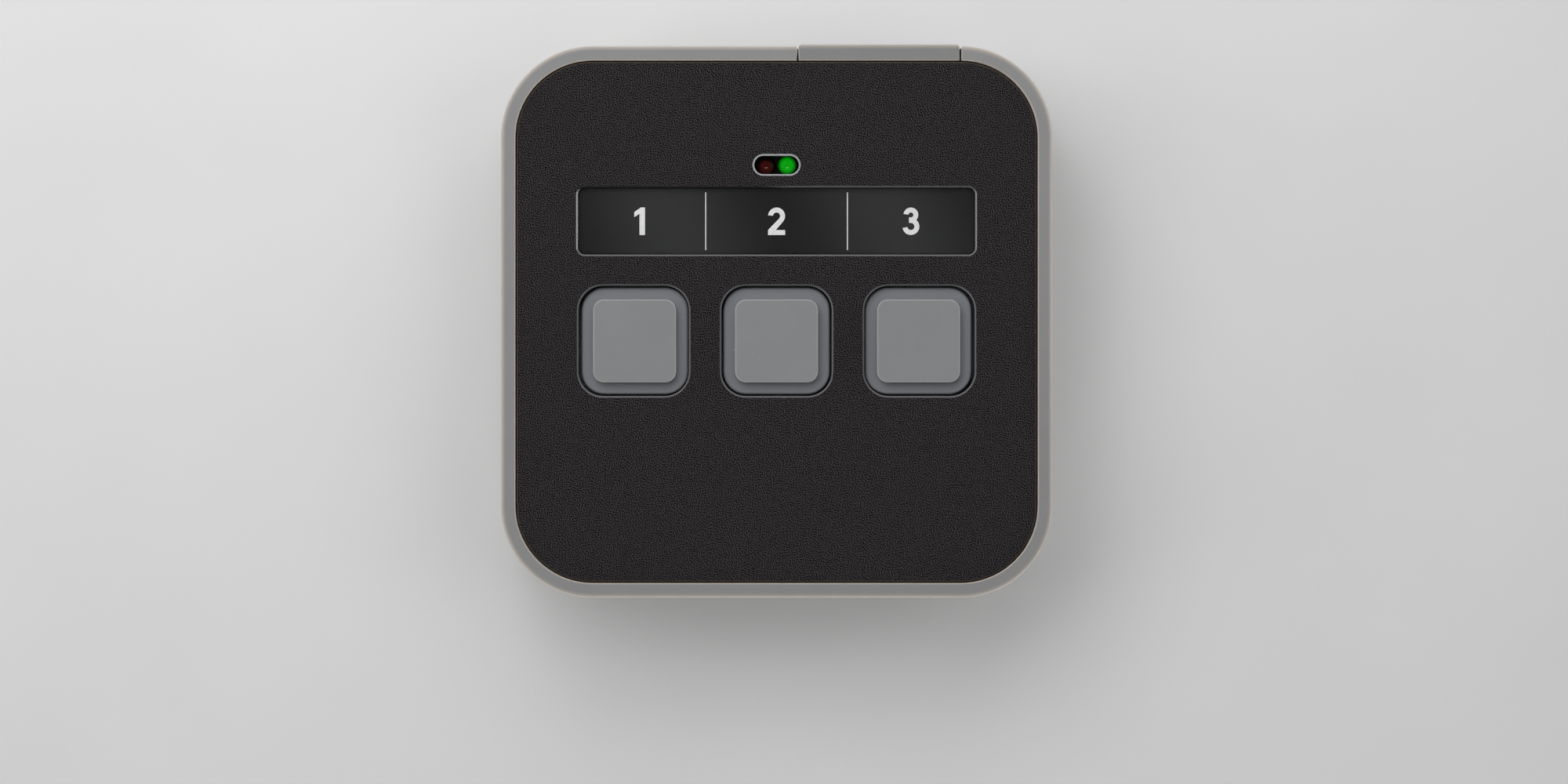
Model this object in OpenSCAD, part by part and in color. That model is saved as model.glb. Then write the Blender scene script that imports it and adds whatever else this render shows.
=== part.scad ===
// Queue call remote: a square counter remote in a soft rim, with three keys, a
// label strip and two lamps. It lies on its back, so the keys face +Z and +Y is
// the edge with the battery door. The origin is on the counter, under the middle
// of the shells. All sizes are in millimetres.

/* [Housing] */
// Side of the square shells, inside the rim
shell_side = 79.2; // [77:0.1:100]
// Corner radius of the shells
shell_corner_r = 11.6; // [10:0.1:14]
// Thickness of the side walls of both shells
side_wall = 2.4; // [2.2:0.1:3]
// Thickness of the rear shell's floor
floor_wall = 2; // [1.4:0.1:3]
// Thickness of the front shell's face
face_wall = 2.5; // [2.2:0.1:3.5]
// Radius on the outer edges of both shells
shell_edge_r = 0.3; // [0.1:0.05:0.6]

/* [Rim] */
// Thickness of the soft rim
rim_wall = 2.25; // [1.8:0.05:3]
// How far the rim stands past the face and the back
rim_proud = 0.2; // [0:0.05:0.5]
// Radius on the rim's outer edges
rim_outer_r = 0.8; // [0.3:0.05:0.9]
// Radius on the rim's inner edges
rim_inner_r = 0.25; // [0.1:0.05:0.5]
// How deep the rim's rib reaches into the shells
rib_depth = 1.1; // [0.6:0.05:1.2]
// Height of that rib, half of it in each shell
rib_h = 1.6; // [1:0.1:2]

/* [Keys] */
// Side of a key's shoulder
key_side = 16.3; // [12:0.1:17]
// Corner radius of a key's shoulder
key_corner_r = 3.5; // [2:0.1:5]
// Side of the raised cap on a key
cap_side = 12.65; // [8:0.05:13]
// Corner radius of the cap
cap_corner_r = 1.65; // [0.8:0.05:3]
// Radius on the cap's top edge
cap_edge_r = 0.3; // [0.1:0.05:0.5]
// How far the cap stands above the face
cap_proud = 0.5; // [0.2:0.05:1.5]
// How far the shoulder's crown lies below the face
shoulder_sink = 1.2; // [0.8:0.05:1.5]
// Radius that rolls the shoulder over at its outer edge
shoulder_r = 0.4; // [0.2:0.05:1]
// Distance between neighbouring keys
key_pitch = 21.6; // [21:0.1:24]
// How far the outer keys lie in from the middles of their holes, as the soft keypad shrinks
key_draw_in = 0.15; // [0:0.01:0.18]
// How far the row of keys lies below the middle of the face
key_drop = 2.9; // [0:0.1:6]
// Travel of a key
key_travel = 1; // [0.6:0.05:1.2]
// Gap round a key in its hole
key_gap = 0.25; // [0.2:0.05:0.5]
// Bevel round the key holes in the face
key_hole_bevel = 0.25; // [0.1:0.05:0.5]
// Thickness of the keypad's flat sheet
mat_t = 1.2; // [1:0.1:1.6]
// How far the sheet reaches past the keys' skirts, above and below them
mat_margin = 3; // [2:0.1:3.4]
// How far the sheet's ends lie in from the board's sides
mat_inset = 0.5; // [0.2:0.1:1.5]
// Width of the thin skirt that joins a key to the sheet
skirt_run = 1.45; // [1:0.05:1.6]
// Thickness of that skirt
skirt_t = 0.4; // [0.25:0.05:0.5]
// Depth of the hollow under a key
key_hollow = 0.6; // [0.3:0.1:0.8]
// Wall round that hollow
key_hollow_wall = 2; // [1.5:0.1:4]
// Diameter of a key's contact pill
pill_d = 5; // [3:0.1:6]
// Thickness of the contact pill
pill_t = 0.4; // [0.3:0.05:0.5]

/* [Lamps] */
// Diameter of a lamp
lamp_d = 3; // [2.4:0.1:4]
// Space between the two lamps
lamp_space = 0.2; // [0.15:0.05:0.6]
// Gap between the label and the bezel above it
lamp_gap = 1.85; // [1:0.05:5]
// How far the lamps' tops lie below the face
lamp_sink = 0.8; // [0.4:0.05:1]
// Wall of the bezel round the lamps
bezel_wall = 0.28; // [0.25:0.01:0.6]
// Radius on the bezel's front edges
bezel_edge_r = 0.12; // [0.05:0.01:0.12]
// How far the bezel stands above the face
bezel_proud = 0.1; // [0:0.05:0.3]
// How far the bezel covers the lamps' long sides
bezel_cover = 0.1; // [0.05:0.05:0.3]
// Room in the bezel past the lamps' ends
bezel_room = 0.3; // [0.1:0.05:0.6]
// Diameter of a lamp's leads
lead_d = 0.5; // [0.4:0.05:0.6]
// Distance between a lamp's leads
lead_pitch = 1.8; // [1.2:0.1:2.2]
// How far the leads reach below the board
lead_tail = 1; // [0.5:0.1:1.2]

/* [Label] */
// Width of the clear label window
window_w = 60.3; // [50:0.1:66]
// Height of the label window on the face
window_l = 10; // [8:0.1:11]
// Corner radius of the window
window_corner_r = 1; // [0.5:0.1:2]
// Thickness of the window
window_t = 0.8; // [0.5:0.05:1]
// Bevel on the window's front edge
window_bevel = 0.1; // [0.05:0.05:0.3]
// Bevel round the window's recess in the face
recess_bevel = 0.25; // [0.1:0.05:0.4]
// How far the window's front lies below the face
window_sink = 0.1; // [0:0.05:0.2]
// Thickness of the label card behind it
card_t = 0.3; // [0.2:0.05:0.4]
// Gap between the key holes and the label above them
label_gap = 4.85; // [4:0.05:6]

/* [Battery] */
// Diameter of a cell
cell_d = 10.5; // [9:0.1:11.6]
// Length of a cell with its button
cell_l = 44.5; // [36:0.1:48]
// Diameter of a cell's button
button_d = 3.8; // [3:0.1:5]
// Height of a cell's button
button_h = 0.8; // [0.5:0.1:1.2]
// Radius on a cell's edges
cell_edge_r = 0.5; // [0.2:0.1:0.8]
// Room between and beside the cells
cell_gap = 0.3; // [0.15:0.05:0.5]
// Height left over the cells, up to the parting plane
bay_headroom = 1.35; // [1.2:0.05:3]
// Thickness of the walls round the cells
bay_wall = 1.2; // [0.8:0.1:1.6]
// Width and height of the ridge between the cells
bay_ridge = 1.4; // [0.8:0.1:1.6]
// Gap between the walls round the cells and the screw columns on their right
bay_gap = 0.55; // [0.3:0.05:3]
// How far the door stands out past the rim
door_proud = 0.25; // [0:0.05:0.6]
// How far the door reaches past its plug on each side
door_lip = 1.4; // [0.8:0.1:2]
// Radius on the door's ends
door_end_r = 0.6; // [0.2:0.05:0.8]
// Radius on the rim's ends beside the door
rim_end_r = 0.4; // [0.1:0.05:0.8]
// Radius on the upper and lower edges of the door's ends and of the rim's ends
end_edge_r = 0.2; // [0.05:0.05:0.25]
// Gap between the door and the rim
door_gap = 0.25; // [0.1:0.05:0.4]
// Length of the plug behind the door
plug_l = 3.2; // [2.6:0.1:5]
// Corner radius of the plug
plug_corner_r = 1.5; // [0.5:0.1:3]
// Thickness of the battery contacts
contact_t = 0.4; // [0.3:0.05:0.6]
// Margin of a contact inside the space of its cells
contact_margin = 1; // [0.5:0.1:2]
// Width of the tails that run up to the board
tail_w = 2; // [1:0.1:3]
// Length of a contact spring under load
spring_l = 3.5; // [3:0.1:5]
// Wire diameter of the contact springs
wire_d = 0.5; // [0.4:0.05:0.6]
// Diameter of a spring's wide end, at the middle of its wire
spring_wide_d = 7; // [5.5:0.1:7.4]
// Diameter of a spring's narrow end, at the middle of its wire
spring_narrow_d = 3.4; // [2.6:0.1:3.6]
// Turns of a contact spring
spring_turns = 3; // [2:1:3]

/* [Board] */
// Thickness of the circuit board
board_t = 1.6; // [1:0.1:2]
// How far the board lies above the parting plane
board_lift = 0.5; // [0.2:0.1:1.5]
// Gap between the board and the side walls
board_gap = 0.8; // [0.4:0.1:1.5]
// Gap from the board to the screw columns
notch_gap = 0.5; // [0.3:0.1:1]
// Height of the ribs that press the keypad on the board
clamp_h = 1.2; // [1:0.1:2]
// Width of those ribs
clamp_wall = 1.2; // [0.8:0.1:2]
// Thickness of the board's copper
copper_t = 0.04; // [0.02:0.01:0.1]
// Slit between the two halves of a key's contact
pad_slit = 0.4; // [0.2:0.05:0.6]
// Width of the antenna's copper line
antenna_w = 1; // [0.6:0.1:1.4]
// Distance between the antenna's runs
antenna_pitch = 2.6; // [2:0.1:3]
// Length of the antenna's runs
antenna_run = 7; // [4:0.1:9]
// Number of the antenna's runs
antenna_runs = 8; // [4:1:8]
// Side of the radio module
radio_side = 13; // [9:0.5:14]
// Height of the radio module's can
radio_h = 1.6; // [1:0.1:1.8]
// Length of the controller chip
chip_l = 10; // [6:0.1:12]
// Width of the controller chip's body
chip_w = 4; // [3:0.1:6]
// Height of the controller chip
chip_h = 1.5; // [1:0.1:1.8]
// Legs on each side of the chip
chip_legs = 8; // [4:1:8]
// Length of the timing crystal
crystal_l = 9; // [6:0.1:11]
// Width of the crystal
crystal_w = 4; // [3:0.1:4.7]
// Height of the crystal
crystal_h = 1.8; // [1:0.1:2]
// How far the chip and the crystal lie in from the board's upper edge
chip_inset = 8; // [6:0.1:12]

/* [Fasteners] */
// How far the housing screws stand in from the shells' sides
screw_inset = 7.2; // [6.8:0.1:9]
// Shank diameter of a housing screw
screw_d = 2.6; // [2:0.1:3]
// Head diameter of a housing screw
screw_head_d = 5; // [4:0.1:5.4]
// Head height of a housing screw
screw_head_h = 1.8; // [1.4:0.1:2.5]
// Depth of the holes that take the screw heads
counterbore_h = 5; // [3:0.1:7]
// Wall of the rear shell's columns round the screw heads
column_wall = 1.2; // [1:0.1:1.6]
// Wall of the front shell's bosses round the screws
boss_wall = 1.8; // [1.2:0.1:2]
// Wall left over the tips of the housing screws
screw_cover = 1.2; // [0.8:0.1:2]
// Diameter of the posts under the board
post_d = 5; // [4:0.1:5.5]
// Shank diameter of a board screw
board_screw_d = 1.8; // [1.4:0.1:2.2]
// Head diameter of a board screw
board_head_d = 3.8; // [3:0.1:4.4]
// Head height of a board screw
board_head_h = 1.2; // [0.8:0.1:1.6]
// Depth of the board screws in their posts
board_screw_l = 5; // [3:0.1:7]
// Diameter of a rubber foot
foot_d = 9; // [6:0.1:10]
// Height of a rubber foot
foot_h = 1.6; // [1.2:0.1:2.4]
// Radius on a foot's lower edge
foot_edge_r = 0.5; // [0.2:0.05:0.8]
// Depth of the recess that holds a foot
foot_sink = 0.6; // [0.4:0.05:0.8]
// How far the feet stand in from the shells' left and right sides
foot_inset_x = 8.6; // [7:0.1:12]
// How far the feet stand in from the shells' other sides
foot_inset_y = 17.8; // [17.4:0.1:24]

/* [Clearances] */
// Gap between the shells and the rim
rim_gap = 0.15; // [0.05:0.05:0.3]
// Gap round pieces that are set into one another
fit_gap = 0.1; // [0.05:0.05:0.15]
// Gap round the screw heads in their holes
head_gap = 0.4; // [0.2:0.05:0.5]
// Gap round screws and leads in their holes
bore_gap = 0.05; // [0.03:0.01:0.1]
// Space left between a pressed key and its contact
stop_gap = 0.02; // [0.01:0.01:0.05]

/* [Hidden] */
$fn = 64;
// How far a cutting shape reaches past what it cuts
past = 1;

// Heights, from the counter up to the tops of the keys
rear_z = foot_h - foot_sink;
floor_z = rear_z + floor_wall;
bay_h = cell_d + cell_gap;
cell_z = floor_z + bay_h / 2;
parting_z = floor_z + bay_h + bay_headroom;
board_z = parting_z + board_lift;
board_top = board_z + board_t;
mat_top = board_top + mat_t;
face_in_z = mat_top + clamp_h;
face_z = face_in_z + face_wall;
pill_z = board_top + copper_t + stop_gap + key_travel;
key_z = pill_z + pill_t;
crown_z = face_z - shoulder_sink;
cap_z = face_z + cap_proud;
rim_z = rear_z - rim_proud;
rim_h = face_z + rim_proud - rim_z;

// Outlines
shell_half = shell_side / 2;
inner_side = shell_side - 2 * side_wall;
inner_corner_r = shell_corner_r - side_wall;
rim_side = shell_side + 2 * rim_gap;
rim_corner_r = shell_corner_r + rim_gap;
skirt_side = key_side + 2 * skirt_run;
skirt_corner_r = key_corner_r + skirt_run;
key_hole_side = key_side + 2 * key_gap;
key_hole_r = key_corner_r + key_gap;
mat_l = skirt_side + 2 * mat_margin;
key_y = -key_drop;
label_y = key_y + key_hole_side / 2 + label_gap + window_l / 2;

// Screws, posts and feet
screw_xy = shell_half - screw_inset;
counterbore_d = screw_head_d + 2 * head_gap;
column_d = counterbore_d + 2 * column_wall;
boss_d = screw_d + 2 * bore_gap + 2 * boss_wall;
head_seat_z = rear_z + counterbore_h;
screw_tip_z = face_in_z - screw_cover;
board_side = inner_side - 2 * board_gap;
mat_w = board_side - 2 * mat_inset;
notch_xy = screw_xy - boss_d / 2 - notch_gap;
post_x = board_side / 2 - post_d / 2 - notch_gap;
post_y = notch_xy - post_d;
foot_x = shell_half - foot_inset_x;
foot_y = shell_half - foot_inset_y;

// Battery bay, from the door's plug down to the contacts at its inner end
cell_pitch = cell_d + cell_gap;
bay_w = 2 * cell_d + 3 * cell_gap;
door_shift = screw_xy - column_d / 2 - bay_gap - bay_wall - bay_w / 2;
plug_w = bay_w - 2 * fit_gap;
plug_h = bay_h - 2 * fit_gap;
door_w = plug_w + 2 * door_lip;
plug_y = shell_half + rim_gap - plug_l;
bay_out_y = plug_y - contact_t - fit_gap;
bay_in_y = bay_out_y - cell_l - spring_l;
bay_end_y = bay_in_y - contact_t;
cell_left_x = door_shift - cell_pitch / 2;
cell_right_x = door_shift + cell_pitch / 2;
contact_side = cell_d - 2 * contact_margin;

// Lamps
lamp_pitch = lamp_d + lamp_space;
lamp_dome_z = face_z - lamp_sink - lamp_d / 2;
slot_w = lamp_pitch + lamp_d + 2 * bezel_room;
slot_l = lamp_d - 2 * bezel_cover;
lamp_y = label_y + window_l / 2 + lamp_gap + bezel_wall + slot_l / 2;
// Height over a dome's middle at which it is as wide as the slot
dome_reach = sqrt(pow(lamp_d / 2, 2) - pow(slot_l / 2, 2));
bezel_z = lamp_dome_z + dome_reach + fit_gap;
bezel_h = face_z + bezel_proud - bezel_z;

// Label recess
label_z = face_z - window_sink - window_t - card_t;
recess_w = window_w + 2 * fit_gap;
recess_l = window_l + 2 * fit_gap;
recess_r = window_corner_r + fit_gap;

// Flat rectangle with round corners
module rounded(w, l, r) {
    square([w - 2 * r, l], center = true);
    square([w, l - 2 * r], center = true);
    for (x = [-1, 1], y = [-1, 1])
        translate([x * (w / 2 - r), y * (l / 2 - r)])
            circle(r);
}

// Flat slot with half-round ends
module stadium(w, l) {
    square([w - l, l], center = true);
    for (x = [-1, 1])
        translate([x * (w - l) / 2, 0])
            circle(d = l);
}

// Upright block with round corners, between two heights
module slab(w, l, r, low, high) {
    translate([0, 0, low])
        linear_extrude(high - low)
            rounded(w, l, r);
}

// Runs a flat section round a rectangle with round corners: the section's x is
// the way out from the rectangle's edge, and its y is the way up
module sweep(w, l, r) {
    for (side = [0 : 3]) {
        across = side % 2 == 0 ? w : l;
        along = side % 2 == 0 ? l : w;
        rotate(90 * side) {
            translate([across / 2, along / 2 - r, 0])
                rotate([90, 0, 0])
                    linear_extrude(along - 2 * r)
                        children();
            translate([across / 2 - r, along / 2 - r, 0])
                rotate_extrude(angle = 90)
                    translate([r, 0])
                        children();
        }
    }
}

// The same round a slot with half-round ends
module slot_sweep(w, l) {
    for (side = [-1, 1]) {
        rotate(side < 0 ? 180 : 0) {
            translate([-(w - l) / 2, l / 2, 0])
                rotate([90, 0, 90])
                    linear_extrude(w - l)
                        children();
            translate([(w - l) / 2, 0, 0])
                rotate(-90)
                    rotate_extrude(angle = 180)
                        translate([l / 2, 0])
                            children();
        }
    }
}

// What a rounded corner takes away: the corner is at the origin, the solid lies
// towards -x and -y
module corner_cut(r) {
    translate([-r, -r])
        difference() {
            square(r + past);
            circle(r);
        }
}

// The same for a bevel
module bevel_cut(b) {
    polygon([[-b, 0], [-b, past], [past, past], [past, -b], [0, -b]]);
}

// Flat section of the rim and the door, with its inner face at x = 0
module rim_section(thick) {
    difference() {
        translate([0, rim_z])
            square([thick, rim_h]);
        translate([thick, rim_z + rim_h])
            corner_cut(rim_outer_r);
        translate([thick, rim_z])
            mirror([0, 1])
                corner_cut(rim_outer_r);
        translate([0, rim_z + rim_h])
            mirror([1, 0])
                corner_cut(rim_inner_r);
        translate([0, rim_z])
            rotate(180)
                corner_cut(rim_inner_r);
    }
}

// Groove for the rim's rib, half of it in each shell
module rib_groove() {
    sweep(shell_side, shell_side, shell_corner_r)
        translate([-rib_depth - fit_gap, parting_z - rib_h / 2 - fit_gap])
            square([rib_depth + fit_gap + past, rib_h + 2 * fit_gap]);
}

// Repeats its children at the corners of a rectangle round the middle
module at_corners(x, y) {
    for (sx = [-1, 1], sy = [-1, 1])
        translate([sx * x, sy * y, 0])
            children();
}

// Repeats its children along the row of keys
module at_keys(pitch = key_pitch) {
    for (place = [-1 : 1])
        translate([place * pitch, key_y, 0])
            children();
}

module front_shell() {
    color("#2b2a2b")
        difference() {
            union() {
                difference() {
                    slab(shell_side, shell_side, shell_corner_r, parting_z, face_z);
                    slab(inner_side, inner_side, inner_corner_r, parting_z - past, face_in_z);
                }
                at_corners(screw_xy, screw_xy)
                    translate([0, 0, parting_z])
                        cylinder(d = boss_d, h = face_in_z - parting_z + face_wall / 2);
                keypad_clamp();
            }
            translate([0, 0, face_z])
                sweep(shell_side, shell_side, shell_corner_r)
                    corner_cut(shell_edge_r);
            rib_groove();
            at_keys(key_pitch + key_draw_in)
                key_hole();
            translate([0, lamp_y, face_in_z - past])
                linear_extrude(face_wall + 2 * past)
                    stadium(slot_w + 2 * bezel_wall + 2 * bore_gap, slot_l + 2 * bezel_wall + 2 * bore_gap);
            translate([0, label_y, 0])
                label_recess();
            at_corners(screw_xy, screw_xy)
                translate([0, 0, parting_z - past])
                    cylinder(d = screw_d + 2 * bore_gap, h = screw_tip_z + fit_gap - parting_z + past);
        }
}

// Frame of ribs behind the face that presses the keypad's sheet on the board
module keypad_clamp() {
    frame_w = 2 * key_pitch + skirt_side + 2 * clamp_wall;
    frame_l = skirt_side + 2 * clamp_wall;
    difference() {
        translate([0, key_y, 0])
            slab(frame_w, frame_l, skirt_corner_r, mat_top, face_in_z + face_wall / 2);
        at_keys()
            slab(
                skirt_side + 2 * fit_gap, skirt_side + 2 * fit_gap, skirt_corner_r + fit_gap,
                mat_top - past, face_in_z
            );
    }
}

// Hole for a key through the face, with a bevel at the front
module key_hole() {
    slab(key_hole_side, key_hole_side, key_hole_r, face_in_z - past, face_z + past);
    translate([0, 0, face_z])
        sweep(key_hole_side, key_hole_side, key_hole_r)
            mirror([1, 0])
                bevel_cut(key_hole_bevel);
}

// Recess for the label's card and window, with a bevel at the front
module label_recess() {
    slab(recess_w, recess_l, recess_r, label_z, face_z + past);
    translate([0, 0, face_z])
        sweep(recess_w, recess_l, recess_r)
            mirror([1, 0])
                bevel_cut(recess_bevel);
}

module rear_shell() {
    color("#2b2a2b")
        difference() {
            union() {
                difference() {
                    slab(shell_side, shell_side, shell_corner_r, rear_z, parting_z);
                    slab(inner_side, inner_side, inner_corner_r, floor_z, parting_z + past);
                }
                at_corners(screw_xy, screw_xy)
                    translate([0, 0, rear_z])
                        cylinder(d = column_d, h = parting_z - rear_z);
                at_corners(post_x, post_y)
                    translate([0, 0, rear_z])
                        cylinder(d = post_d, h = board_z - rear_z);
                battery_bay();
            }
            translate([0, 0, rear_z])
                mirror([0, 0, 1])
                    sweep(shell_side, shell_side, shell_corner_r)
                        corner_cut(shell_edge_r);
            rib_groove();
            door_opening();
            at_corners(screw_xy, screw_xy)
                screw_hole();
            at_corners(post_x, post_y)
                translate([0, 0, board_z - board_screw_l - fit_gap])
                    cylinder(d = board_screw_d + 2 * bore_gap, h = board_screw_l + fit_gap + past);
            at_corners(foot_x, foot_y)
                translate([0, 0, rear_z - past])
                    cylinder(d = foot_d + 2 * fit_gap, h = foot_sink + past);
        }
}

// Stepped hole for a housing screw, open at the back
module screw_hole() {
    translate([0, 0, rear_z - past])
        cylinder(d = counterbore_d, h = counterbore_h + past);
    translate([0, 0, rear_z])
        cylinder(d = screw_d + 2 * bore_gap, h = parting_z - rear_z + past);
}

// Walls round the two cells, and the ridge between them
module battery_bay() {
    wall_l = shell_half - side_wall / 2 - bay_end_y;
    for (side = [-1, 1])
        translate([door_shift + side * (bay_w + bay_wall) / 2 - bay_wall / 2, bay_end_y - bay_wall, rear_z])
            cube([bay_wall, wall_l + bay_wall, floor_z + bay_h - rear_z]);
    translate([door_shift - bay_w / 2 - bay_wall, bay_end_y - bay_wall, rear_z])
        cube([bay_w + 2 * bay_wall, bay_wall, floor_z + bay_h - rear_z]);
    translate([door_shift - bay_ridge / 2, bay_end_y, rear_z])
        cube([bay_ridge, cell_l, floor_z - rear_z + bay_ridge]);
}

// Window in the rear shell's wall that the door's plug closes
module door_opening() {
    translate([door_shift, shell_half + past, cell_z])
        rotate([90, 0, 0])
            linear_extrude(side_wall + 2 * past)
                rounded(bay_w, bay_h, plug_corner_r + fit_gap);
}

module bumper_ring() {
    gap_w = door_w + 2 * door_gap;
    color("#828282")
        difference() {
            sweep(rim_side, rim_side, rim_corner_r) {
                rim_section(rim_wall);
                translate([-rib_depth - rim_gap, parting_z - rib_h / 2])
                    square([rib_depth + rim_gap + rim_wall / 2, rib_h]);
            }
            translate([door_shift, rim_side / 2, rim_z - past])
                linear_extrude(rim_h + 2 * past) {
                    translate([-gap_w / 2, -rib_depth - rim_gap - past])
                        square([gap_w, rib_depth + rim_gap + rim_wall + 2 * past]);
                    for (side = [-1, 1])
                        translate([side * gap_w / 2, rim_wall])
                            mirror([side > 0 ? 1 : 0, 0])
                                corner_cut(rim_end_r);
                }
            translate([door_shift, rim_side / 2 + rim_wall + past, rim_z + rim_h / 2])
                rotate([90, 0, 0])
                    linear_extrude(rim_wall + 2 * past)
                        for (side = [-1, 1], up = [-1, 1])
                            translate([side * gap_w / 2, up * rim_h / 2])
                                mirror([side > 0 ? 1 : 0, 0])
                                    mirror([0, up < 0 ? 1 : 0])
                                        corner_cut(end_edge_r);
        }
}

module battery_door() {
    thick = rim_wall + door_proud;
    color("#828282") {
        difference() {
            intersection() {
                translate([door_shift - door_w / 2, rim_side / 2, 0])
                    rotate([90, 0, 90])
                        linear_extrude(door_w)
                            rim_section(thick);
                translate([door_shift, rim_side / 2 + thick, rim_z + rim_h / 2])
                    rotate([90, 0, 0])
                        linear_extrude(thick)
                            rounded(door_w, rim_h, end_edge_r);
            }
            for (side = [-1, 1])
                translate([door_shift + side * door_w / 2, rim_side / 2 + thick, rim_z - past])
                    linear_extrude(rim_h + 2 * past)
                        mirror([side < 0 ? 1 : 0, 0])
                            corner_cut(door_end_r);
        }
        translate([door_shift, rim_side / 2 + rim_wall / 2, cell_z])
            rotate([90, 0, 0])
                linear_extrude(plug_l + rim_wall / 2)
                    rounded(plug_w, plug_h, plug_corner_r);
    }
}

// Bridge on the plug that joins the two cells
module door_contact() {
    color("#c9c6bd")
        translate([door_shift, plug_y, cell_z])
            rotate([90, 0, 0])
                linear_extrude(contact_t)
                    rounded(cell_pitch + contact_side, contact_side, contact_margin);
}

// Centre of a spring's wire at a share t of its length, which runs along +y
function coil_radius(t) = (spring_wide_d + (spring_narrow_d - spring_wide_d) * t) / 2;
function coil_angle(t) = 360 * spring_turns * t;
function coil_point(t, out, up) = [
    (coil_radius(t) + out) * cos(coil_angle(t)),
    wire_d / 2 + (spring_l - wire_d) * t + up,
    (coil_radius(t) + out) * sin(coil_angle(t))
];
coil_rings = 8 * spring_turns;
coil_sides = 6;
coil_centres = [for (i = [0 : coil_rings]) coil_point(i / coil_rings, 0, 0)];
coil_least_gap = min([
    for (i = [0 : coil_rings - 5], j = [i + 5 : coil_rings])
        norm(coil_centres[i] - coil_centres[j])
]) - wire_d;
echo(str("Least gap between the turns of a contact spring: ", coil_least_gap, " mm"));

// Cone-shaped contact spring, with its wide end on y = 0
module contact_spring() {
    points = [
        for (i = [0 : coil_rings], k = [0 : coil_sides - 1])
            let (a = 360 * k / coil_sides)
                coil_point(i / coil_rings, wire_d / 2 * cos(a), wire_d / 2 * sin(a))
    ];
    last = coil_rings * coil_sides;
    sides = [
        for (i = [0 : coil_rings - 1], k = [0 : coil_sides - 1])
            let (
                a = i * coil_sides + k,
                b = i * coil_sides + (k + 1) % coil_sides
            )
                each [[a, b, b + coil_sides], [a, b + coil_sides, a + coil_sides]]
    ];
    ends = [
        for (k = [1 : coil_sides - 2])
            each [[0, k + 1, k], [last, last + k, last + k + 1]]
    ];
    polyhedron(points, concat(sides, ends));
}

module door_spring() {
    color("#d5d2c8")
        translate([cell_left_x, plug_y - contact_t, cell_z])
            mirror([0, 1, 0])
                contact_spring();
}

module terminal_spring() {
    color("#d5d2c8")
        translate([cell_right_x, bay_in_y, cell_z])
            contact_spring();
}

// Cell along +y, with its button at the far end
module aaa_cell() {
    body_l = cell_l - button_h;
    rotate([-90, 0, 0])
        rotate_extrude() {
            difference() {
                square([cell_d / 2, body_l]);
                translate([cell_d / 2, body_l])
                    corner_cut(cell_edge_r);
                translate([cell_d / 2, 0])
                    mirror([0, 1])
                        corner_cut(cell_edge_r);
            }
            translate([0, body_l - button_h])
                square([button_d / 2, 2 * button_h]);
        }
}

module aaa_cell_left() {
    color("#3f6f8f")
        translate([cell_left_x, bay_in_y + cell_l, cell_z])
            mirror([0, 1, 0])
                aaa_cell();
}

module aaa_cell_right() {
    color("#3f6f8f")
        translate([cell_right_x, bay_out_y - cell_l, cell_z])
            aaa_cell();
}

// Contact at the bay's inner end, with a tail up to the board
module terminal(x) {
    color("#c9c6bd")
        translate([x, bay_in_y, 0])
            rotate([90, 0, 0])
                linear_extrude(contact_t) {
                    translate([0, cell_z])
                        rounded(contact_side, contact_side, contact_margin);
                    translate([-tail_w / 2, cell_z])
                        square([tail_w, board_z - cell_z]);
                }
}

module plate_terminal() {
    terminal(cell_left_x);
}

module spring_terminal() {
    terminal(cell_right_x);
}

module circuit_board() {
    color("#2f6b3c")
        difference() {
            translate([-board_side / 2, -board_side / 2, board_z])
                cube([board_side, board_side, board_t]);
            at_corners(notch_xy + board_side / 2, notch_xy + board_side / 2)
                translate([-board_side / 2, -board_side / 2, board_z - past])
                    cube([board_side, board_side, board_t + 2 * past]);
            at_corners(post_x, post_y)
                translate([0, 0, board_z - past])
                    cylinder(d = board_screw_d + 2 * bore_gap, h = board_t + 2 * past);
            at_leads()
                translate([0, 0, board_z - past])
                    cylinder(d = lead_d + 2 * bore_gap, h = board_t + 2 * past);
        }
}

// Repeats its children at the lamps' leads
module at_leads() {
    for (side = [-1, 1])
        translate([side * lamp_pitch / 2, lamp_y, 0])
            lamp_leads()
                children();
}

// Repeats its children at one lamp's leads
module lamp_leads() {
    for (lead = [-1, 1])
        translate([0, lead * lead_pitch / 2, 0])
            children();
}

// Copper under the keys: each key's pill bridges two half discs
module contact_pads() {
    color("#c98b45")
        at_keys()
            translate([0, 0, board_top])
                linear_extrude(copper_t)
                    difference() {
                        circle(d = pill_d);
                        square([pad_slit, pill_d + past], center = true);
                    }
}

// Copper line that winds to and fro along the board's lower left edge
module antenna_trace() {
    start_x = -notch_xy + antenna_w;
    low_y = -board_side / 2 + antenna_w;
    color("#c98b45")
        translate([start_x, low_y, board_top])
            linear_extrude(copper_t)
                for (run = [0 : antenna_runs - 1]) {
                    translate([run * antenna_pitch, 0])
                        square([antenna_w, antenna_run]);
                    if (run < antenna_runs - 1)
                        translate([run * antenna_pitch, run % 2 == 0 ? antenna_run - antenna_w : 0])
                            square([antenna_pitch + antenna_w, antenna_w]);
                }
}

// Middle of the board's free strip, below the keypad's sheet
strip_y = (key_y - mat_l / 2 - board_side / 2) / 2;

// Radio module: a small board with a metal can on it
module radio_module() {
    base_t = radio_h / 4;
    color("#b9bcc0")
        translate([radio_side, strip_y, 0]) {
            slab(radio_side, radio_side, base_t, board_top, board_top + base_t);
            slab(radio_side - 2 * base_t, radio_side - 2 * base_t, base_t, board_top, board_top + radio_h);
        }
}

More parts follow.
